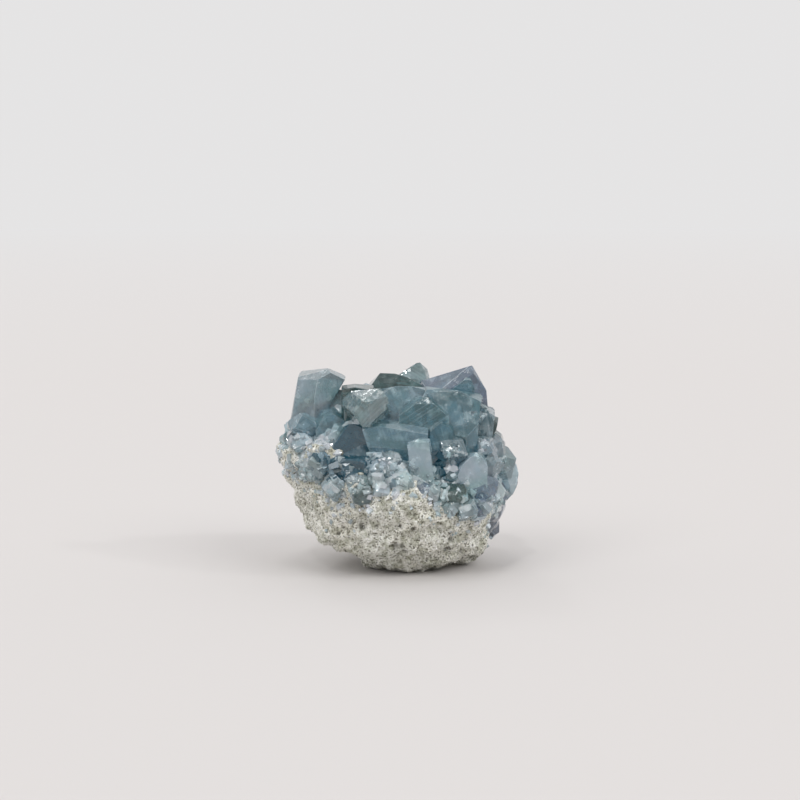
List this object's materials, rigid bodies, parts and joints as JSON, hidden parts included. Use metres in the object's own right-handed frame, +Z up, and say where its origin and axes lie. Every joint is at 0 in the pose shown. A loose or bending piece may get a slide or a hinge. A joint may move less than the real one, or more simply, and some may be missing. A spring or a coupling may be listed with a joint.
{
  "type": "rough celestite",
  "caption": "Rough celestite: blue crystals grown together in one crust over a lump of sandy limestone matrix, standing on a small flat spot.",
  "frame": {"origin": "on the surface that the lump stands on, under the middle of its bounding box", "axes": "+X to the right along the widest way across, +Y away from the side that the picture shows, +Z up"},
  "size_m": [0.0606, 0.0474, 0.0504],
  "materials": {
    "celestite": "clear to milky grey-blue crystal faces, sugary and paler towards the matrix",
    "limestone": "rough broken sandy limestone, cream grains and dark olive pits"
  },
  "bodies": {
    "root": {"celestite": "celestite", "matrix": "limestone"}
  },
  "joints": []
}
